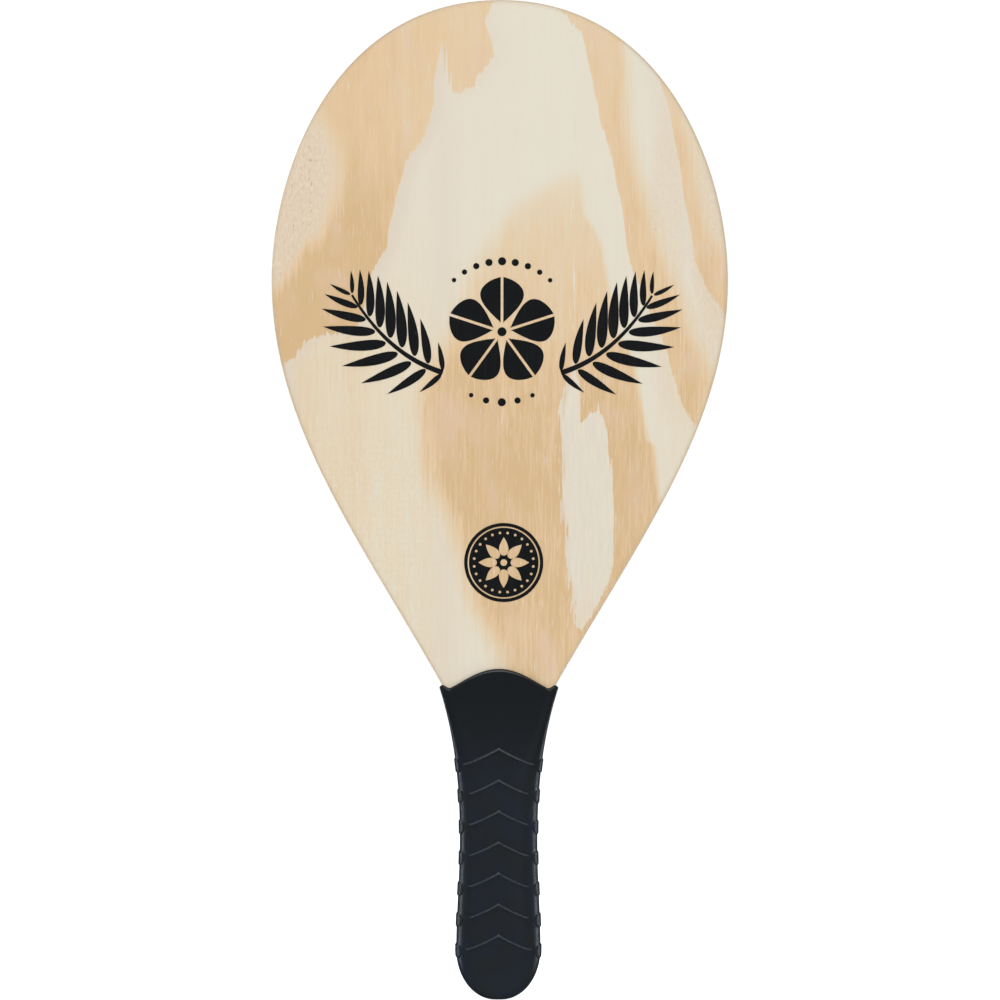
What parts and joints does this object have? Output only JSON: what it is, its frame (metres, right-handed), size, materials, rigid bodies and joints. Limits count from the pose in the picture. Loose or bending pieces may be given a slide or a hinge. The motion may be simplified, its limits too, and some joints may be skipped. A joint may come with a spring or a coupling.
{
  "type": "wooden beach racket",
  "caption": "Egg-shaped plywood beach racket with a tang and wooden cheeks inside a moulded rubber grip with raised chevrons.",
  "frame": {"origin": "on the handle's axis at the waist of the grip, where the hand closes round it, 70 mm above the end of the butt and 370 mm below the crown of the blade", "axes": "+Z along the handle from the butt to the crown; +Y square to the blade, out of its rear face, so that the front face looks along -Y; +X across the blade"},
  "size_m": [0.2008, 0.03, 0.44],
  "materials": {
    "face_veneer": "sanded pale pine, cream with tan figure, matt clear coat",
    "cross_veneer": "pine end grain, sanded",
    "core_veneer": "pine long grain, sanded",
    "handle_wood": "rounded pine, unfinished under the grip",
    "grip_rubber": "moulded, finely matt, blue-black",
    "print_ink": "screen-printed black ink, matt"
  },
  "bodies": {
    "root": {"front_face_ply": "face_veneer", "front_cross_ply": "cross_veneer", "core_ply": "core_veneer", "rear_cross_ply": "cross_veneer", "rear_face_ply": "face_veneer", "front_handle_cheek": "handle_wood", "rear_handle_cheek": "handle_wood", "grip_sleeve": "grip_rubber"}
  },
  "joints": []
}
